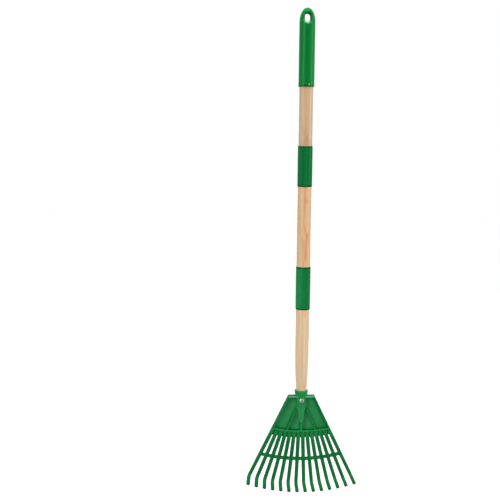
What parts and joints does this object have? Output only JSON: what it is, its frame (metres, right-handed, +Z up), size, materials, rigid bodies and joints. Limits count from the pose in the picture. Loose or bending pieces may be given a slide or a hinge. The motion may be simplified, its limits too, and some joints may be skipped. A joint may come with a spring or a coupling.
{
  "type": "sand rake",
  "caption": "Child-size sand rake: wooden handle in dowel sections joined by plastic sleeves, domed grip cap with hanging hole, and a moulded fan head with hooked tines held by a screw.",
  "frame": {"origin": "centre of the hanging hole in the grip cap, on the handle's axis", "axes": "+Z up along the handle towards the grip cap; the hooked tines, ribs and screw face -Y; +X to the right seen from that side"},
  "size_m": [0.1806, 0.0393, 0.7804],
  "materials": {
    "grip_plastic": "glossy moulded green plastic",
    "sleeve_plastic": "glossy moulded green plastic",
    "head_plastic": "satin moulded green plastic",
    "wood": "sanded pale softwood, thin clear coat",
    "steel": "zinc-plated steel"
  },
  "bodies": {
    "upper_section": {"upper_rod": "wood", "grip_cap": "grip_plastic", "cap_nail": "steel"},
    "middle_section": {"middle_rod": "wood", "upper_sleeve": "sleeve_plastic", "lower_sleeve": "sleeve_plastic"},
    "lower_section": {"lower_rod": "wood", "rake_head": "head_plastic", "head_screw": "steel"}
  },
  "joints": [
    {"name": "upper_pull", "type": "slide", "parent": "upper_section", "child": "middle_section", "axis": [0, 0, -1], "range_m": [0, 0.032]},
    {"name": "lower_pull", "type": "slide", "parent": "middle_section", "child": "lower_section", "axis": [0, 0, -1], "range_m": [0, 0.0345]}
  ]
}
